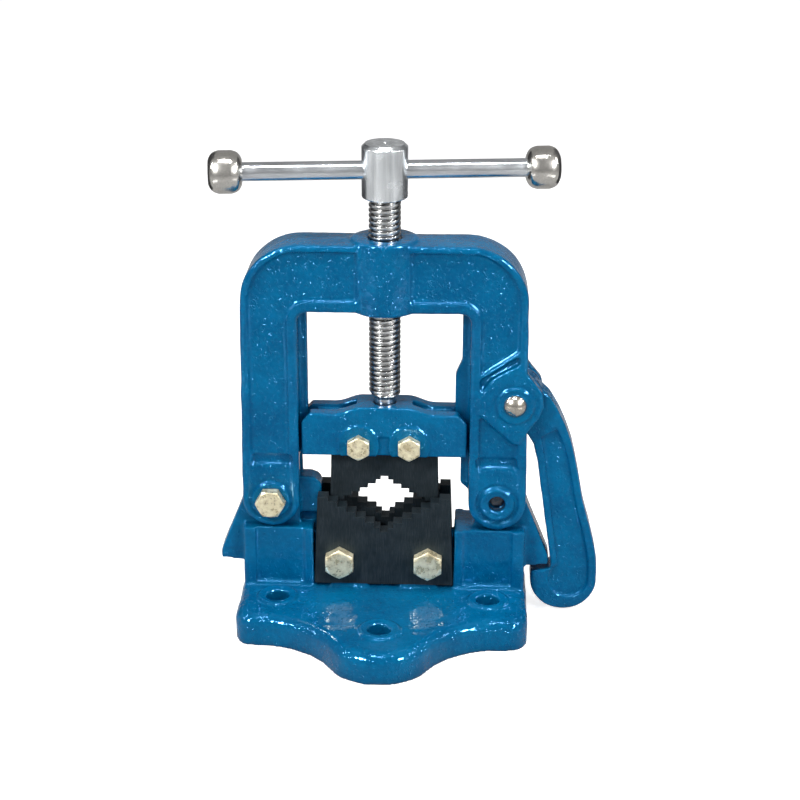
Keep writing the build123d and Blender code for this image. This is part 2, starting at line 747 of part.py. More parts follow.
# Jaw carrier: a crosshead that runs on the yoke's guide ribs
half_carrier = carrier_depth / 2
jaw_slot_half_width = upper_jaw_half_width + jaw_fit
jaw_slot_top = upper_jaw_top + jaw_fit
guide_groove_width = rib_thickness + 2 * guide_clearance
with BuildPart() as jaw_carrier:
    with BuildSketch(Plane.XZ):
        with BuildLine():
            Polyline(
                (0, carrier_bottom), (carrier_half_width, carrier_bottom),
                (carrier_half_width, carrier_top - carrier_corner),
                (carrier_half_width - carrier_corner, carrier_top),
                (carrier_shoulder_half_width, carrier_top),
            )
            Spline(
                (carrier_shoulder_half_width, carrier_top), (carrier_hump_half_width, carrier_hump_top),
                tangents=((-1, 0), (-1, 0)),
            )
            Line((carrier_hump_half_width, carrier_hump_top), (0, carrier_hump_top))
            mirror(about=Plane.YZ)
        make_face()
    extrude(amount=half_carrier, both=True)
    fillet(jaw_carrier.faces().filter_by(Axis.Y).edges(), carrier_round)
    for side in (-1, 1):
        with BuildSketch(front_plane(side * half_carrier)):
            with Locations((upper_bolt_x, upper_bolt_z), (-upper_bolt_x, upper_bolt_z)):
                Circle(carrier_ring_radius)
            with Locations((0, carrier_bottom)):
                Rectangle(2 * carrier_half_width, 2 * carrier_round, align=(Align.CENTER, Align.MAX),
                          mode=Mode.SUBTRACT)
            with Locations((0, carrier_bottom - carrier_ring_radius)):
                Rectangle(2 * carrier_half_width, 2 * carrier_ring_radius, mode=Mode.SUBTRACT)
        extrude(amount=-side * carrier_ring_height)
        with BuildSketch(front_plane(side * half_carrier)):
            with Locations((0, carrier_bottom + carrier_notch_height / 2)):
                Rectangle(carrier_notch_width, carrier_notch_height)
        extrude(amount=side * carrier_notch_depth, mode=Mode.SUBTRACT)

    # Slot for the upper jaw, guide grooves in the ends and along the top
    with Locations((0, 0, (carrier_bottom + jaw_slot_top) / 2)):
        Box(2 * jaw_slot_half_width, 2 * (half_upper_jaw + jaw_fit / 2), jaw_slot_top - carrier_bottom,
            mode=Mode.SUBTRACT)
    for side in (-1, 1):
        with Locations((side * carrier_half_width, 0, carrier_top)):
            Box(2 * guide_groove_depth, guide_groove_width, 2 * carrier_top, mode=Mode.SUBTRACT)
        groove_length = carrier_half_width - top_groove_inner
        with Locations((side * (top_groove_inner + groove_length / 2), 0, carrier_hump_top)):
            Box(groove_length, guide_groove_width,
                2 * (carrier_hump_top - carrier_top + top_groove_depth), mode=Mode.SUBTRACT)

    # Seat of the screw's nose, the pins that hold it and the jaw bolt holes
    with BuildSketch(Plane.XY.offset(screw_nose_end - nose_end_clearance)):
        Circle(screw_nose_radius + nose_clearance)
    extrude(amount=carrier_hump_top, mode=Mode.SUBTRACT)
    nose_pin_x = nose_groove_radius + nose_pin_radius + nose_clearance
    with BuildSketch(front_plane(half_carrier)):
        with Locations((nose_pin_x, nose_groove_z), (-nose_pin_x, nose_groove_z)):
            Circle(nose_pin_radius)
    extrude(amount=nose_pin_depth, mode=Mode.SUBTRACT)
    with BuildSketch(Plane.XZ):
        with Locations((upper_bolt_x, upper_bolt_z), (-upper_bolt_x, upper_bolt_z)):
            Circle(m8_radius + bolt_hole_clearance)
    extrude(amount=carrier_depth, both=True, mode=Mode.SUBTRACT)
save(jaw_carrier.part, "jaw_carrier")

with BuildPart() as nose_pins:
    with BuildSketch(front_plane(half_carrier)):
        with Locations((nose_pin_x, nose_groove_z), (-nose_pin_x, nose_groove_z)):
            Circle(nose_pin_radius)
    extrude(amount=nose_pin_depth)
save(nose_pins.part, "nose_pins")

# Upper jaw: one toothed plate held in the carrier's slot
upper_teeth = stepped_vee(
    upper_notch_half_width, upper_notch_z, upper_tooth_first,
    upper_tooth_width, upper_tooth_height, upper_tooth_count, -1,
)
with BuildPart() as upper_jaw:
    with BuildSketch(Plane.XZ):
        with BuildLine():
            Polyline(
                *upper_teeth[:-1], (upper_teeth[-1][0], upper_jaw_bottom),
                (upper_jaw_half_width + upper_jaw_spread, upper_jaw_bottom),
                (upper_jaw_half_width, carrier_bottom), (upper_jaw_half_width, upper_jaw_top),
                (0, upper_jaw_top),
            )
            mirror(about=Plane.YZ)
        make_face()
        with Locations((upper_bolt_x, upper_bolt_z), (-upper_bolt_x, upper_bolt_z)):
            Circle(m8_radius + bolt_hole_clearance, mode=Mode.SUBTRACT)
    extrude(amount=half_upper_jaw, both=True)
save(upper_jaw.part, "upper_jaw")

upper_grip = 2 * carrier_ring_face
upper_places = [(x, -carrier_ring_face, upper_bolt_z) for x in (-upper_bolt_x, upper_bolt_x)]
m8_bolt = hex_bolt(m8_flats, m8_head, m8_radius, upper_grip + m8_nut + thread_stub, 30)
with BuildPart() as upper_jaw_bolts:
    with Locations(upper_places):
        add(m8_bolt)
save(upper_jaw_bolts.part, "upper_jaw_bolts")
m8_hex_nut = hex_nut(m8_flats, m8_nut, m8_radius)
with BuildPart() as upper_jaw_nuts:
    with Locations([(x, y + upper_grip, z) for x, y, z in upper_places]):
        add(m8_hex_nut)
save(upper_jaw_nuts.part, "upper_jaw_nuts")

# Clamp screw: grooved nose, threaded length at its outside diameter, spigot in the hub
with BuildPart() as clamp_screw:
    groove_half = nose_pin_radius + nose_clearance
    with BuildSketch(Plane.XZ):
        with BuildLine():
            Polyline(
                (0, screw_nose_end), (screw_nose_radius - 1, screw_nose_end),
                (screw_nose_radius, screw_nose_end + 1),
                (screw_nose_radius, nose_groove_z - groove_half),
                (nose_groove_radius, nose_groove_z - groove_half),
                (nose_groove_radius, nose_groove_z + groove_half),
                (screw_nose_radius, nose_groove_z + groove_half),
                (screw_nose_radius, screw_nose_top - (screw_radius - screw_nose_radius)),
                (screw_radius, screw_nose_top), (screw_radius, hub_bottom),
                (hub_spigot_radius, hub_bottom), (hub_spigot_radius, hub_spigot_top),
                (0, hub_spigot_top), close=True,
            )
        make_face()
    revolve(axis=Axis.Z)
    with BuildSketch(Plane.YZ):
        with Locations((0, hub_bottom + hub_pin_rise)):
            Circle(hub_pin_radius)
    extrude(amount=hub_radius, both=True, mode=Mode.SUBTRACT)
save(clamp_screw.part, "clamp_screw")

bar_plane = Plane(origin=(0, 0, bar_axis_z), z_dir=(1, 0, 0)).rotated((0, 0, bar_turn))
with BuildPart() as screw_hub:
    with BuildSketch(Plane.XY.offset(hub_bottom)):
        Circle(hub_radius)
    extrude(amount=hub_top - hub_bottom)
    chamfer(screw_hub.faces().sort_by(Axis.Z)[-1].edges(), hub_chamfer)
    fillet(screw_hub.faces().sort_by(Axis.Z)[0].edges(), hub_chamfer / 2)
    with Locations((0, 0, hub_top)):
        CounterSinkHole(centre_mark_radius / 3, centre_mark_radius, 2)
    with BuildSketch(Plane.XY.offset(hub_bottom)):
        Circle(hub_spigot_radius)
    extrude(amount=hub_spigot_length, mode=Mode.SUBTRACT)
    with BuildSketch(Plane.YZ):
        with Locations((0, hub_bottom + hub_pin_rise)):
            Circle(hub_pin_radius)
    extrude(amount=hub_radius, both=True, mode=Mode.SUBTRACT)
    with BuildSketch(bar_plane):
        Circle(bar_radius + bar_hole_clearance)
    extrude(amount=2 * hub_radius, both=True, mode=Mode.SUBTRACT)
save(screw_hub.part, "screw_hub")

with BuildPart() as hub_pin:
    hub_pin_half = sqrt(hub_radius ** 2 - hub_pin_radius ** 2) - 0.2
    with BuildSketch(Plane.YZ):
        with Locations((0, hub_bottom + hub_pin_rise)):
            Circle(hub_pin_radius)
    extrude(amount=hub_pin_half, both=True)
save(hub_pin.part, "hub_pin")

# Tommy bar with a spigot at each end, and the balls pressed on the spigots
ball_inner_face = bar_half_length - ball_length
with BuildPart() as handle_bar:
    with BuildSketch(bar_plane):
        Circle(bar_radius)
    extrude(amount=ball_inner_face, both=True)
    with BuildSketch(bar_plane):
        Circle(ball_spigot_radius)
    extrude(amount=ball_inner_face + ball_spigot_length, both=True)
save(handle_bar.part, "handle_bar")

half_ball = ball_length / 2
half_band = ball_band / 2
face_drop = half_ball - half_band
shoulder_radius = ((ball_radius - ball_face_radius) ** 2 + face_drop ** 2) / (2 * (ball_radius - ball_face_radius))
for side, name in ((-1, "bar_ball_left"), (1, "bar_ball_right")):
    with BuildPart() as turned_ball:
        with BuildSketch(Plane.XZ):
            with BuildLine():
                Line((0, -half_ball), (ball_face_radius, -half_ball))
                RadiusArc((ball_face_radius, -half_ball), (ball_radius, -half_band), -shoulder_radius)
                Line((ball_radius, -half_band), (ball_radius, half_band))
                RadiusArc((ball_radius, half_band), (ball_face_radius, half_ball), -shoulder_radius)
                Polyline((ball_face_radius, half_ball), (0, half_ball), (0, -half_ball))
            make_face()
        revolve(axis=Axis.Z)
        with BuildSketch(Plane.XY.offset(-side * half_ball)):
            Circle(ball_spigot_radius)
        extrude(amount=side * ball_spigot_length, mode=Mode.SUBTRACT)
    placed_ball = bar_plane.offset(side * (bar_half_length - half_ball)).location * turned_ball.part
    save(placed_ball, name)
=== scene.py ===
"""Looks of a hinged yoke pipe vise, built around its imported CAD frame.

Units are metres. X runs right to the latch, Y runs to the back, Z runs up the clamp screw.
"""
import math

import bmesh
import bpy
import numpy as np
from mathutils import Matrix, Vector


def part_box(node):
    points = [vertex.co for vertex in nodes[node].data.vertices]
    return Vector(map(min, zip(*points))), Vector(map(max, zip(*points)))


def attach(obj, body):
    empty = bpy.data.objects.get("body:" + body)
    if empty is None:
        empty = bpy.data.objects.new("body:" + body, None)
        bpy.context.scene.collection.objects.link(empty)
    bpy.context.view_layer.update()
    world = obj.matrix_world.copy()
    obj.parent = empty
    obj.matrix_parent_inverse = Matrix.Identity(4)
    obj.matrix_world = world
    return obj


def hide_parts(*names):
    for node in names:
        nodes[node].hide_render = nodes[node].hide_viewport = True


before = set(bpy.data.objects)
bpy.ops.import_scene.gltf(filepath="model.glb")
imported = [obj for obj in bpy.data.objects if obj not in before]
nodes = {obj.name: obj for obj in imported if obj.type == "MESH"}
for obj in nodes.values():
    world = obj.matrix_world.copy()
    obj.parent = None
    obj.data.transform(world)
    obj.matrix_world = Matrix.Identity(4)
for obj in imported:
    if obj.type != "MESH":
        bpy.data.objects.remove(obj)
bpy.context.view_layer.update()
scene = bpy.context.scene
MM = 0.001
TAU = 2 * math.pi
WHITE = (1, 1, 1, 1)
CREASE_ANGLE = math.radians(35)  # edges sharper than this stay sharp
MERGE_DISTANCE = 1e-6  # points closer than this are one point


# ---------------------------------------------------------------- materials

def new_material(name):
    """A node material with one Principled shader on its output: the material, its tree and the shader."""
    mat = bpy.data.materials.new(name)
    mat.use_nodes = True
    tree = mat.node_tree
    tree.nodes.clear()
    out = tree.nodes.new("ShaderNodeOutputMaterial")
    shader = tree.nodes.new("ShaderNodeBsdfPrincipled")
    tree.links.new(shader.outputs[0], out.inputs[0])
    return mat, tree, shader


def place(tree, scale=(1, 1, 1)):
    """Object coordinates, stretched by scale."""
    coords = tree.nodes.new("ShaderNodeTexCoord")
    mapping = tree.nodes.new("ShaderNodeMapping")
    mapping.inputs["Scale"].default_value = scale
    tree.links.new(coords.outputs["Object"], mapping.inputs["Vector"])
    return mapping.outputs[0]


def noise(tree, vector, size_mm, detail=2.0, rough=0.5):
    """Noise whose lumps are about size_mm across."""
    node = tree.nodes.new("ShaderNodeTexNoise")
    node.inputs["Scale"].default_value = 1000.0 / size_mm
    node.inputs["Detail"].default_value = detail
    node.inputs["Roughness"].default_value = rough
    tree.links.new(vector, node.inputs["Vector"])
    return node.outputs["Fac"]


def ramp(tree, value, low, high, start, end):
    """Value moved from the span low..high to start..end, with its ends held."""
    node = tree.nodes.new("ShaderNodeMapRange")
    for name, number in zip(("From Min", "From Max", "To Min", "To Max"), (low, high, start, end)):
        node.inputs[name].default_value = number
    tree.links.new(value, node.inputs["Value"])
    return node.outputs["Result"]


def blend_colours(tree, factor, first, second):
    """Colours first and second mixed by factor; each is a colour or a socket."""
    node = tree.nodes.new("ShaderNodeMix")
    node.data_type = "RGBA"
    for name, value in (("Factor", factor), ("A", first), ("B", second)):
        socket = node.inputs[name]
        if isinstance(value, bpy.types.NodeSocket):
            tree.links.new(value, socket)
        elif isinstance(value, tuple):
            socket.default_value = (*value, 1.0)
        else:
            socket.default_value = value
    return node.outputs["Result"]


def bump(tree, height, depth_mm, normal=None):
    """Bump of depth_mm from a height, over an earlier normal."""
    node = tree.nodes.new("ShaderNodeBump")
    node.inputs["Strength"].default_value = 1.0
    node.inputs["Distance"].default_value = depth_mm * MM
    tree.links.new(height, node.inputs["Height"])
    if normal is not None:
        tree.links.new(normal, node.inputs["Normal"])
    return node.outputs[0]


def recess(tree, reach_mm):
    """1 in the open, towards 0 in corners narrower than reach_mm."""
    node = tree.nodes.new("ShaderNodeAmbientOcclusion")
    node.samples = 4
    node.inputs["Distance"].default_value = reach_mm * MM
    return node.outputs["AO"]


def soft_edges(tree, radius_mm):
    """Normals that round each edge by radius_mm."""
    node = tree.nodes.new("ShaderNodeBevel")
    node.samples = 4
    node.inputs["Radius"].default_value = radius_mm * MM
    return node.outputs[0]


def enamel_blue():
    """Thick glossy blue enamel over a sand-cast skin: painted shade darker in the corners, paint thinner on the
    lumps, a soft peel and scattered pimples of sand under the gloss."""
    mat, tree, shader = new_material("blue_enamel_on_casting")
    at = place(tree)
    drift = noise(tree, at, 24, 4, 0.6)
    colour = blend_colours(tree, ramp(tree, drift, 0.35, 0.65, 0.0, 1.0), (0.0, 0.080, 0.200), (0.0, 0.120, 0.270))
    grit = noise(tree, at, 2.4, 4, 0.65)
    colour = blend_colours(tree, ramp(tree, grit, 0.52, 0.78, 0.0, 0.5), colour, (0.0, 0.18, 0.34))
    colour = blend_colours(tree, ramp(tree, grit, 0.42, 0.25, 0.0, 0.4), colour, (0.0, 0.058, 0.130))
    # painted shade: the enamel's colour darkens towards corners and recesses narrower than 11 mm, where shade falls
    corners = ramp(tree, recess(tree, 11), 0.25, 0.92, 0.85, 0.0)
    colour = blend_colours(tree, corners, colour, (0.0, 0.030, 0.078))
    tree.links.new(colour, shader.inputs["Base Color"])
    tree.links.new(ramp(tree, drift, 0.3, 0.7, 0.05, 0.09), shader.inputs["Roughness"])
    shader.inputs["Specular IOR Level"].default_value = 0.7
    shader.inputs["Specular Tint"].default_value = (0.14, 0.50, 1.0, 1)
    peel = noise(tree, at, 4.4, 2, 0.45)
    pimples = ramp(tree, noise(tree, at, 1.7, 2, 0.5), 0.58, 0.76, 0.0, 1.0)
    normal = bump(tree, peel, 0.38)
    normal = bump(tree, pimples, 0.30, normal)
    tree.links.new(normal, shader.inputs["Normal"])
    return mat


def black_steel():
    """Blackened jaw steel: satin, with fine grinding lines and softly rounded edges."""
    mat, tree, shader = new_material("blackened_jaw_steel")
    at = place(tree)
    lines = noise(tree, place(tree, (1, 1, 0.08)), 0.5, 2, 0.6)
    drift = noise(tree, at, 9, 4, 0.6)
    colour = blend_colours(tree, drift, (0.002, 0.007, 0.010), (0.011, 0.022, 0.030))
    colour = blend_colours(tree, ramp(tree, lines, 0.45, 0.8, 0.0, 0.3), colour, (0.045, 0.055, 0.065))
    tree.links.new(colour, shader.inputs["Base Color"])
    shader.inputs["Metallic"].default_value = 0.1
    shader.inputs["Specular IOR Level"].default_value = 0.15
    tree.links.new(ramp(tree, drift, 0.3, 0.7, 0.42, 0.6), shader.inputs["Roughness"])
    normal = bump(tree, lines, 0.05, soft_edges(tree, 0.3))
    normal = bump(tree, noise(tree, at, 1.2, 2), 0.06, normal)
    tree.links.new(normal, shader.inputs["Normal"])
    return mat


def yellow_zinc():
    """Pale yellow zinc plate, cloudy, with stained spots."""
    mat, tree, shader = new_material("pale_yellow_zinc")
    at = place(tree)
    cloud = noise(tree, at, 4.5, 4, 0.65)
    colour = blend_colours(tree, ramp(tree, cloud, 0.35, 0.65, 0.0, 1.0), (0.56, 0.48, 0.29), (0.88, 0.82, 0.60))
    stain = ramp(tree, noise(tree, at, 3.4, 3, 0.55), 0.54, 0.72, 0.0, 0.55)
    colour = blend_colours(tree, stain, colour, (0.27, 0.19, 0.08))
    tree.links.new(colour, shader.inputs["Base Color"])
    shader.inputs["Metallic"].default_value = 0.55
    tree.links.new(ramp(tree, cloud, 0.3, 0.7, 0.22, 0.38), shader.inputs["Roughness"])
    normal = bump(tree, cloud, 0.1, soft_edges(tree, 0.3))
    tree.links.new(normal, shader.inputs["Normal"])
    return mat


def turned_steel(name, colour_dark, colour_light, rough, grain, groove_mm=0.012, corner_mm=0.0, band=0.0):
    """Bright turned steel: fine tool lines along grain, soft dark stripes of strength band painted along the grain
    as reflections, cloudy patches, and oil with painted shade darkening corners under corner_mm."""
    mat, tree, shader = new_material(name)
    lines = noise(tree, place(tree, grain), 0.7, 3, 0.6)
    drift = noise(tree, place(tree), 12, 3, 0.5)
    colour = blend_colours(tree, ramp(tree, lines, 0.3, 0.7, 0.0, 1.0), colour_dark, colour_light)
    # painted reflection: dark stripes along the grain stand in for dark surroundings mirrored in the metal
    if band:
        painted_reflection_bands = noise(tree, place(tree, grain), 5, 2, 0.5)
        shade = tuple(0.5 * level for level in colour_dark)
        colour = blend_colours(tree, ramp(tree, painted_reflection_bands, 0.40, 0.62, 0.0, band), colour, shade)
    # oil and painted shade: the colour darkens in corners and grooves narrower than corner_mm, where shade falls
    if corner_mm:
        grime_and_painted_shade = ramp(tree, recess(tree, corner_mm), 0.3, 0.95, 0.95, 0.0)
        colour = blend_colours(tree, grime_and_painted_shade, colour, (0.035, 0.035, 0.035))
    tree.links.new(colour, shader.inputs["Base Color"])
    shader.inputs["Metallic"].default_value = 1.0
    tree.links.new(ramp(tree, drift, 0.3, 0.7, rough, rough + 0.1), shader.inputs["Roughness"])
    tree.links.new(bump(tree, lines, groove_mm, soft_edges(tree, 0.25)), shader.inputs["Normal"])
    return mat


blue = enamel_blue()
black = black_steel()
zinc = yellow_zinc()
# band paints dark reflection stripes on the hub and the bar; corner_mm paints shade, with oil, in the thread's
# grooves
hub_steel = turned_steel("bright_turned_hub", (0.84, 0.88, 0.91), (0.92, 0.95, 0.97), rough=0.2,
                         grain=(1.0, 1.0, 0.04), groove_mm=0.003, band=0.55)
steel = turned_steel("bright_threaded_steel", (0.36, 0.37, 0.375), (0.70, 0.70, 0.69), rough=0.2,
                     grain=(0.1, 0.1, 2.0), corner_mm=3.0)
bar_steel = turned_steel("drawn_bar_steel", (0.62, 0.65, 0.68), (0.80, 0.83, 0.86), rough=0.16,
                         grain=(0.03, 1.0, 1.0), groove_mm=0.004, band=0.35)
nickel = turned_steel("nickelled_ball", (0.50, 0.485, 0.45), (0.70, 0.68, 0.64), rough=0.14,
                      grain=(1.0, 1.0, 1.0), groove_mm=0.006)
rivet_steel = turned_steel("bright_rivet", (0.42, 0.39, 0.33), (0.66, 0.62, 0.55), rough=0.15,
                           grain=(1.0, 1.0, 1.0), groove_mm=0.02)


# ---------------------------------------------------------------- mesh helpers

def finish_mesh(name, points, faces, material):
    """A mesh object from arrays of points and faces, smooth but for edges sharper than CREASE_ANGLE."""
    mesh = bpy.data.meshes.new(name)
    mesh.from_pydata(points, [], faces)
    mesh.validate()
    mesh.shade_smooth()
    mesh.set_sharp_from_angle(angle=CREASE_ANGLE)
    mesh.materials.append(material)
    piece = bpy.data.objects.new(name, mesh)
    scene.collection.objects.link(piece)
    return piece


def tube_faces(rings, around):
    """Quads between rings of points, each ring closed on itself, with the outside to the right of the path."""
    ring, step = np.meshgrid(np.arange(rings - 1), np.arange(around), indexing="ij")
    after = (step + 1) % around
    corners = (ring * around + step, ring * around + after, (ring + 1) * around + after, (ring + 1) * around + step)
    return np.stack(corners, -1).reshape(-1, 4)


def revolved(name, material, profile, centre, axis, around=64, radius=None):
    """Surface of revolution: profile rows of (radius, height) turned about axis through centre.

    The point at angle a on row s is centre + height(s) axis + r(s, a) (cos a U + sin a V), with U, V and axis
    a right-handed set. radius(angle, radius, height) may reshape r, as for a hexagon or a thread.
    Rows of no radius become one point, which closes the end.
    """
    profile = np.asarray(profile, float)
    axis = Vector(axis).normalized()
    side = Vector((0, 0, 1)) if abs(axis.z) < 0.9 else Vector((1, 0, 0))
    u = axis.cross(side).normalized()
    v = axis.cross(u)
    angle = np.linspace(0, TAU, around, endpoint=False)
    r = np.repeat(profile[:, :1], around, 1)
    h = np.repeat(profile[:, 1:], around, 1)
    if radius is not None:
        r, h = radius(angle[None, :], r, h)
    points = (np.array(centre)[None, None] + h[..., None] * np.array(axis)
              + (r * np.cos(angle))[..., None] * np.array(u) + (r * np.sin(angle))[..., None] * np.array(v))
    piece = finish_mesh(name, points.reshape(-1, 3), tube_faces(len(profile), around), material)
    close_poles(piece)
    return piece


def close_poles(piece):
    """Merges the points that lie on each other and turns every face outwards."""
    work = bmesh.new()
    work.from_mesh(piece.data)
    bmesh.ops.remove_doubles(work, verts=work.verts, dist=MERGE_DISTANCE)
    bmesh.ops.dissolve_degenerate(work, edges=work.edges, dist=MERGE_DISTANCE / 10)
    bmesh.ops.recalc_face_normals(work, faces=work.faces)
    work.to_mesh(piece.data)
    work.free()
    piece.data.shade_smooth()
    piece.data.set_sharp_from_angle(angle=CREASE_ANGLE)


def stand_for(piece, body, slot, *cad_nodes):
    """The piece rides on body and stands for the CAD nodes, which are hidden; slot is not used."""
    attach(piece, body)
    if cad_nodes:
        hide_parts(*cad_nodes)
    return piece


def bead(distance, width):
    """Rounded ridge: the exponential of minus (distance over width) squared."""
    return np.exp(-(distance / width) ** 2)


def ring_relief(points, normals, rings, flat):
    """Rounded rings on the faces that look both ways along Y, or upwards where flat is set: each (x, z or y,
    radius, width, height) in mm adds height times a bead of the distance from its circle, faded out by how far
    the normal leans away."""
    height = np.zeros(len(points))
    second = points[:, 1] if flat else points[:, 2]
    facing = normals[:, 2] if flat else np.abs(normals[:, 1])
    for x, across, radius, width, rise in rings:
        away = np.hypot(points[:, 0] / MM - x, second / MM - across)
        height += rise * bead(away - radius, width)
    return height * np.clip((facing - 0.5) / 0.3, 0, 1)


WAVES = (26, 17, 11, 8)  # lengths in mm of the sines that make a casting uneven, the longest first
RIB_X, RIB_HALF_X, RIB_HALF_Y = 47, 6, 5  # place and half sizes in mm of the strips round the yoke's ribs
RIB_FADE = 3  # width in mm over which the sines come back beside a strip


def cast_skin(names, body, voxel_mm, rounds, lump_mm, seed, rings=(), flat=False, guides=False):
    """A casting's skin: the CAD solids' own surface, rounded at edges and corners and slightly uneven.

    A merged copy of the solids is remeshed at voxel_mm and smoothed rounds times, which rounds edges and fills
    corners. Each point then moves along its normal by lump_mm times a sum of sines of its place, plus the rings.
    With guides set, the sines fade out round the yoke's ribs, where the crosshead's grooves run on them closely.
    """
    work = bmesh.new()
    for name in names:
        work.from_mesh(nodes[name].data)
    bmesh.ops.remove_doubles(work, verts=work.verts, dist=MERGE_DISTANCE)
    shape = bpy.data.meshes.new(names[0] + "_cast")
    work.to_mesh(shape)
    work.free()
    skin = bpy.data.objects.new(names[0] + "_cast", shape)
    scene.collection.objects.link(skin)
    remesh = skin.modifiers.new("skin", "REMESH")
    remesh.mode = "VOXEL"
    remesh.voxel_size = voxel_mm * MM
    relax = skin.modifiers.new("relax", "SMOOTH")
    relax.factor = 0.5
    relax.iterations = rounds
    bpy.context.view_layer.update()
    shape = bpy.data.meshes.new_from_object(skin.evaluated_get(bpy.context.evaluated_depsgraph_get()))
    skin.modifiers.clear()
    skin.data = shape
    drop_inner_shells(shape)
    count = len(shape.vertices)
    points = np.empty(count * 3, np.float32)
    normals = np.empty(count * 3, np.float32)
    shape.vertices.foreach_get("co", points)
    shape.vertices.foreach_get("normal", normals)
    points = points.reshape(-1, 3)
    normals = normals.reshape(-1, 3)
    draw = np.random.default_rng(seed)
    height = np.zeros(count)
    for wave_mm in WAVES:
        direction = draw.normal(size=3)
        direction *= TAU / (wave_mm * MM) / np.linalg.norm(direction)
        height += np.sin(points @ direction + draw.uniform(0, TAU)) * wave_mm / WAVES[0]
    if guides:
        beside_rib = np.clip((np.abs(np.abs(points[:, 0]) / MM - RIB_X) - RIB_HALF_X) / RIB_FADE, 0, 1)
        off_rib = np.clip((np.abs(points[:, 1]) / MM - RIB_HALF_Y) / RIB_FADE, 0, 1)
        height *= np.maximum(beside_rib, off_rib)
    height = height * lump_mm + ring_relief(points, normals, rings, flat)
    points = points + normals * (height * MM)[:, None]
    shape.vertices.foreach_set("co", points.astype(np.float32).ravel())
    shape.update()
    shape.shade_smooth()
    shape.materials.clear()
    shape.materials.append(blue)
    return stand_for(skin, body, "blue_casting", *names)


def drop_inner_shells(shape):
    """Keeps only the shell with the most points, so that no closed skin is left inside the metal."""
    work = bmesh.new()
    work.from_mesh(shape)
    left = set(work.verts)
    shells = []
    while left:
        front = [left.pop()]
        shell = list(front)
        while front:
            near = {edge.other_vert(vert) for vert in front for edge in vert.link_edges} & left
            left -= near
            front = list(near)
            shell += front
        shells.append(shell)
    shells.sort(key=len)
    for shell in shells[:-1]:
        bmesh.ops.delete(work, geom=shell, context="VERTS")
    work.to_mesh(shape)
    work.free()


# ---------------------------------------------------------------- castings

# Places in mm: (x, z) of what runs through along Y, and (x, y) of the mounting holes.
LEFT_HINGE, RIGHT_HINGE = (-69.0, 76.2), (69.0, 76.2)
LATCH_PIN = (78.3, 141.7)
UPPER_BOLTS = ((-15.3, 112.3), (15.3, 112.3))
LOWER_BOLTS = ((-27.2, 36.0), (27.2, 36.0))
MOUNT_HOLES = ((-64.5, -31.0), (64.5, -31.0), (0.0, -70.5))

yoke_rings = [(*RIGHT_HINGE, 9.3, 0.9, 0.9), (*RIGHT_HINGE, 11.5, 1.1, -0.7), (*RIGHT_HINGE, 13.6, 0.8, 0.5),
              (*LEFT_HINGE, 11.0, 0.8, 0.5), (*LEFT_HINGE, 12.6, 0.9, -0.45),
              (*LATCH_PIN, 10.4, 0.8, 0.7), (*LATCH_PIN, 12.3, 1.0, -0.5)]
carrier_rings = [(*bolt, 12.2, 0.8, 0.45) for bolt in UPPER_BOLTS]
mount_rings = [(*hole, 11.2, 1.2, 0.8) for hole in MOUNT_HOLES]
cast_skin(["yoke"], "yoke", voxel_mm=1.0, rounds=3, lump_mm=0.10, seed=11, rings=yoke_rings, guides=True)
cast_skin(["base", "left_upright", "right_upright", "hinge_heel"], "base", voxel_mm=1.0, rounds=3, lump_mm=0.12,
          seed=12, rings=mount_rings, flat=True)
cast_skin(["latch"], "latch", voxel_mm=0.7, rounds=4, lump_mm=0.08, seed=13)
cast_skin(["jaw_carrier"], "carrier", voxel_mm=0.65, rounds=3, lump_mm=0.03, seed=14, rings=carrier_rings,
          guides=True)


# ---------------------------------------------------------------- clamp screw

PITCH = 3.2 * MM
THREAD_DEPTH = 1.35 * MM
GROOVE_FLOOR, GROOVE_FLANK = 0.13, 0.17  # half the groove's floor and one flank, as parts of the pitch
RUN_IN, RUN_OUT = 1.2 * PITCH, 0.8 * PITCH  # lengths over which the groove fades out at the nose and the hub
NECK_RADIUS = 8.0 * MM  # of the screw's end in the hub
NOSE = ((0.0, 0.0), (5.5, 0.0), (6.5, 1.0), (6.5, 4.0), (4.9, 4.0), (4.9, 7.2), (6.5, 7.2), (6.5, 16.0))  # mm

screw_low, screw_high = (corner.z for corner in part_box("clamp_screw"))
screw_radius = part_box("clamp_screw")[1].x
thread_low, thread_high = screw_low + 16.5 * MM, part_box("screw_hub")[0].z


def screw_thread(angle, r, h):
    """Acme thread, right-handed: the radius drops by THREAD_DEPTH where the turn fraction of height/pitch minus
    angle/turn lies in the groove, with sloped flanks, and the groove fades out at both ends of the thread."""
    phase = np.mod(h / PITCH - angle / TAU, 1.0)
    groove = np.clip((np.abs(phase - 0.5) - GROOVE_FLOOR) / GROOVE_FLANK, 0, 1)
    groove = 1 - groove * groove * (3 - 2 * groove)
    run_in = np.clip((h - thread_low) / RUN_IN, 0, 1)
    run_out = np.clip((thread_high - h) / RUN_OUT, 0, 1)
    return r - THREAD_DEPTH * groove * run_in * run_out, h


rows = [(radius * MM, screw_low + height * MM) for radius, height in NOSE]
rows += [(screw_radius, height) for height in np.arange(screw_low + 19 * MM, thread_high, PITCH / 12)]
rows += [(screw_radius, thread_high), (NECK_RADIUS, thread_high), (NECK_RADIUS, screw_high), (0.0, screw_high)]
screw = revolved("clamp_screw_threaded", steel, rows, (0, 0, 0), (0, 0, 1), 64, screw_thread)
stand_for(screw, "screw", "bright_steel", "clamp_screw")


# ---------------------------------------------------------------- hex bolts

BOLT_PITCH, BOLT_THREAD_DEPTH = 1.2 * MM, 0.5 * MM
HINGE_BOLT_HEAD = 6.4 * MM  # height of the hinge bolt's head


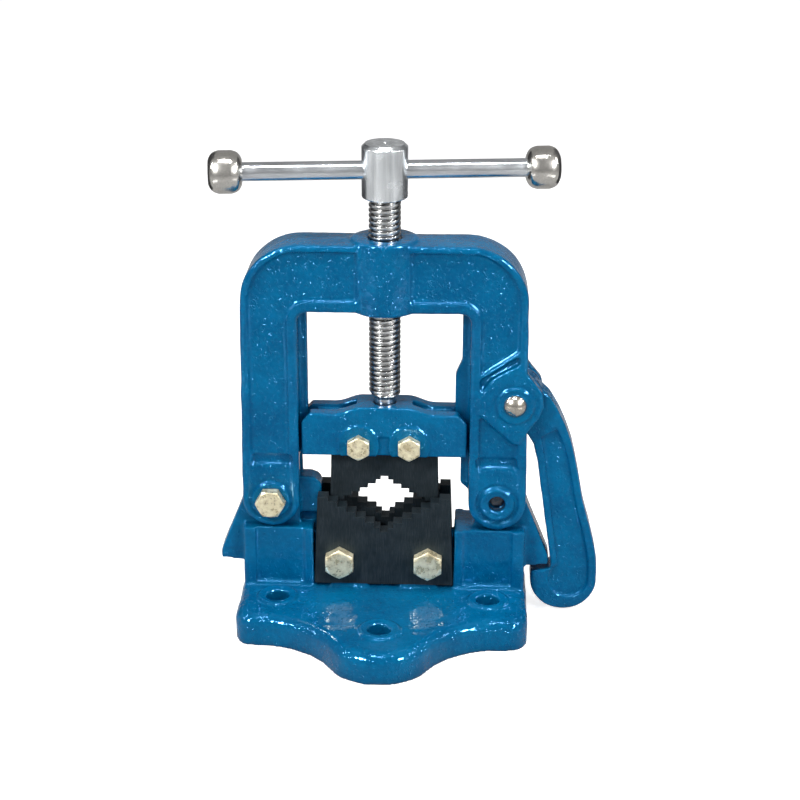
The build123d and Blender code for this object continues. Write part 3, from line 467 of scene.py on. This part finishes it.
def hexagon(flats, face_radius, head_top, turn, below):
    """Hexagon with chamfered corners: the radius of rows marked with a negative radius is that share of the
    hexagon's own radius at that angle, and above below the height drops by tan 30 for each step outside
    face_radius, which leaves the curved edges of a chamfered head."""
    def shape(angle, r, h):
        swing = np.mod(angle - turn + math.pi / 6, math.pi / 3) - math.pi / 6
        edge = flats / 2 / np.cos(swing)
        hexed = r < 0
        r = np.where(hexed, -r * edge, r)
        drop = np.clip(r - face_radius, 0, None) * math.tan(math.pi / 6)
        h = np.where(hexed & (h > below), np.minimum(h, head_top - drop), h)
        return r, h
    return shape


def thread_rows(radius, low, high):
    """Profile rows of a fine thread shown as rings, from low to high."""
    z = np.arange(low, high, BOLT_PITCH / 2)
    r = np.where(np.arange(len(z)) % 2 == 0, radius, radius - BOLT_THREAD_DEPTH)
    return list(zip(r, z))


def hex_bolt(name, x, z, seat_y, flats, head, shank, length, turn):
    """Hex bolt along Y with its head to the front: domed chamfer, head sides, plain shank and a threaded end."""
    thread_start, thread_end = length - 12 * MM, length - 1 * MM
    face_radius, chamfer_below = flats * 0.47, head * 0.5
    rows = [(0.0, head)] + [(-share, head) for share in np.linspace(0.1, 1.0, 14)]
    rows += [(-1.0, head * 0.45), (-1.0, 0.0), (shank, 0.0), (shank, -thread_start)]
    rows += [(radius, -depth) for radius, depth in thread_rows(shank, thread_start, thread_end)]
    rows += [(shank - 0.9 * MM, -length), (0.0, -length)]
    return revolved(name, zinc, rows, (x, seat_y, z), (0, -1, 0), 96,
                    hexagon(flats, face_radius, head, turn, chamfer_below))


def join(pieces):
    """Several pieces as one object."""
    bpy.ops.object.select_all(action="DESELECT")
    for piece in pieces:
        piece.select_set(True)
    bpy.context.view_layer.objects.active = pieces[0]
    bpy.ops.object.join()
    return pieces[0]


def bolt_set(node, spots, seat_y, flats, head, shank, turn, body):
    """Bolts at spots (x, z) in mm that stand for a CAD node and reach as far back as it does."""
    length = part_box(node)[1].y - seat_y
    made = [hex_bolt(f"{node}_{i}", x * MM, z * MM, seat_y, flats, head, shank, length, turn)
            for i, (x, z) in enumerate(spots)]
    piece = join(made) if len(made) > 1 else made[0]
    piece.name = node + "_turned"
    stand_for(piece, body, "yellow_zinc", node)


bolt_set("upper_jaw_bolts", UPPER_BOLTS, seat_y=-12.9 * MM, flats=13 * MM, head=5.3 * MM, shank=3.95 * MM,
         turn=0, body="carrier")
bolt_set("lower_jaw_bolts", LOWER_BOLTS, seat_y=-15.3 * MM, flats=17 * MM, head=6.4 * MM, shank=4.95 * MM,
         turn=0, body="base")
bolt_set("hinge_bolt", (LEFT_HINGE,), seat_y=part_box("hinge_bolt")[0].y + HINGE_BOLT_HEAD, flats=16 * MM,
         head=HINGE_BOLT_HEAD, shank=4.9 * MM, turn=math.pi / 6, body="base")


# ---------------------------------------------------------------- turned balls

def ball_profile(half, band, out, face, bulge):
    """Rows of a turned ball: a straight band of radius out, and shoulders whose radius falls in a straight line
    to face plus bulge times the sine of the way along, mirrored about the middle."""
    way = np.linspace(0, 1, 17)
    normal = np.array([half - band, out - face]) / math.hypot(half - band, out - face)
    shoulder = (np.outer(1 - way, (out, band)) + np.outer(way, (face, half))
                + np.outer(np.sin(math.pi * way) * bulge, normal))
    end = [(face - 0.5 * MM, half + 0.05 * MM), (0.0, half + 0.05 * MM)]
    top = [tuple(row) for row in shoulder] + end
    return [(r, -h) for r, h in top[::-1]] + top


BAR_TURN = math.radians(6)  # of the bar's axis from X

bar_axis = Vector((math.cos(BAR_TURN), math.sin(BAR_TURN), 0))
ball_rows = ball_profile(half=9.7 * MM, band=3.5 * MM, out=12.5 * MM, face=7.3 * MM, bulge=1.3 * MM)
for side in ("left", "right"):
    low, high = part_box("bar_ball_" + side)
    ball = revolved("bar_ball_" + side + "_turned", nickel, ball_rows, (low + high) / 2, bar_axis, 96)
    stand_for(ball, "bar", "nickel", "bar_ball_" + side)


# ---------------------------------------------------------------- carried-over nodes

for node, material in (("lower_jaw_front", black), ("lower_jaw_back", black), ("upper_jaw", black),
                       ("lower_jaw_nuts", zinc), ("upper_jaw_nuts", zinc), ("hinge_washer", zinc),
                       ("hinge_nut", zinc), ("latch_pin_washer", zinc), ("latch_pin", rivet_steel),
                       ("nose_pins", steel), ("screw_hub", hub_steel), ("hub_pin", steel),
                       ("handle_bar", bar_steel)):
    held = nodes[node]
    held.data.materials.clear()
    held.data.materials.append(material)


# ---------------------------------------------------------------- floor, light and camera

LAMP_AIM = Vector((0, 0, 0.14))
CAMERA_AIM = Vector((0, 0, 0.15))

floor_mesh = bpy.data.meshes.new("floor")
floor_mesh.from_pydata([(-6, -6, 0), (6, -6, 0), (6, 6, 0), (-6, 6, 0)], [], [(0, 1, 2, 3)])
floor = bpy.data.objects.new("floor", floor_mesh)
floor.location.z = -0.0002  # clear of the mounting face, which lies at 0
scene.collection.objects.link(floor)
pale, tree, shader = new_material("pale_floor")
shader.inputs["Roughness"].default_value = 0.9
shader.inputs["Specular IOR Level"].default_value = 0.1


def seen_rays(tree, lighting, camera_ray, reflected):
    """One level for the rays that light the object, one for the camera's and one for glossy and transmission rays."""
    path = tree.nodes.new("ShaderNodeLightPath")
    level = ramp(tree, path.outputs["Is Camera Ray"], 0.0, 1.0, lighting, camera_ray)
    for name in ("Is Glossy Ray", "Is Transmission Ray"):
        more = tree.nodes.new("ShaderNodeMath")
        more.operation = "MULTIPLY_ADD"
        more.inputs[1].default_value = reflected - lighting
        tree.links.new(path.outputs[name], more.inputs[0])
        tree.links.new(level, more.inputs[2])
        level = more.outputs[0]
    return level


tree.links.new(seen_rays(tree, 0.0, 0.80, 0.20), shader.inputs["Emission Strength"])
tree.links.new(seen_rays(tree, 0.66, 0.66, 0.28), shader.inputs["Base Color"])
shader.inputs["Emission Color"].default_value = WHITE
floor_mesh.materials.append(pale)

world = bpy.data.worlds.new("studio")
scene.world = world
world.use_nodes = True
sky = world.node_tree
sky.nodes.clear()
out = sky.nodes.new("ShaderNodeOutputWorld")
back = sky.nodes.new("ShaderNodeBackground")
sky.links.new(seen_rays(sky, 0.28, 1.0, 0.34), back.inputs["Strength"])
back.inputs["Color"].default_value = WHITE
sky.links.new(back.outputs[0], out.inputs[0])


def soft_box(name, place_at, size, power, glint_only=False):
    """Oblong studio lamp aimed at the middle of the vise; glint_only lamps show in reflections and light nothing."""
    lamp = bpy.data.lights.new(name, "AREA")
    lamp.shape = "RECTANGLE"
    lamp.size, lamp.size_y = size
    lamp.energy = power
    holder = bpy.data.objects.new(name, lamp)
    holder.location = place_at
    holder.rotation_euler = (LAMP_AIM - Vector(place_at)).to_track_quat("-Z", "Y").to_euler()
    holder.visible_diffuse = not glint_only
    scene.collection.objects.link(holder)


soft_box("key", (-0.8, -0.95, 1.05), (0.10, 0.10), 10.5)
soft_box("fill", (0.9, -0.9, 0.7), (0.10, 0.12), 6)
soft_box("top", (0.0, -0.3, 1.3), (0.6, 0.04), 7)
soft_box("strip_left", (-1.0, -0.15, 0.75), (0.04, 0.45), 3)
soft_box("strip_right", (1.0, -0.1, 0.8), (0.04, 0.45), 3)
soft_box("glint_left", (-0.75, -0.8, 0.9), (0.25, 0.25), 58, glint_only=True)
soft_box("glint_right", (0.85, -0.65, 0.75), (0.2, 0.25), 46, glint_only=True)


def studio_card(name, corners, material):
    """Flat card beside the set, seen only in reflections: dark ones edge bright metal, pale ones band it."""
    card = bpy.data.meshes.new(name)
    card.from_pydata(corners, [], [(0, 1, 2, 3)])
    card.materials.append(material)
    holder = bpy.data.objects.new(name, card)
    scene.collection.objects.link(holder)
    for ray in ("camera", "diffuse", "shadow", "transmission", "volume_scatter"):
        setattr(holder, "visible_" + ray, False)


dark_card, tree, shader = new_material("dark_card")
shader.inputs["Base Color"].default_value = (0.03, 0.03, 0.035, 1)
shader.inputs["Roughness"].default_value = 1.0
pale_card, tree, shader = new_material("pale_card")
shader.inputs["Base Color"].default_value = (0.0, 0.0, 0.0, 1)
shader.inputs["Emission Color"].default_value = WHITE
shader.inputs["Emission Strength"].default_value = 3.0
for side, name in ((-1, "left"), (1, "right")):
    studio_card("flag_" + name, [(0.3 * side, 0.05, 0), (0.3 * side, 0.55, 0), (0.3 * side, 0.55, 0.6),
                                 (0.3 * side, 0.05, 0.6)], dark_card)
    studio_card("band_" + name, [(0.30 * side, -0.50, 0.002), (0.24 * side, -0.46, 0.002),
                                 (0.40 * side, -0.20, 0.002), (0.50 * side, -0.24, 0.002)], pale_card)

camera_data = bpy.data.cameras.new("camera")
camera = bpy.data.objects.new("camera", camera_data)
camera.location = (0.0471, -0.9991, 0.544)
camera.rotation_euler = (CAMERA_AIM - camera.location).to_track_quat("-Z", "Y").to_euler()
camera_data.sensor_width = 36
camera_data.lens = 80.3
camera_data.shift_x = 0.019
camera_data.shift_y = -0.0239
scene.collection.objects.link(camera)
scene.camera = camera
scene.view_settings.view_transform = "Standard"
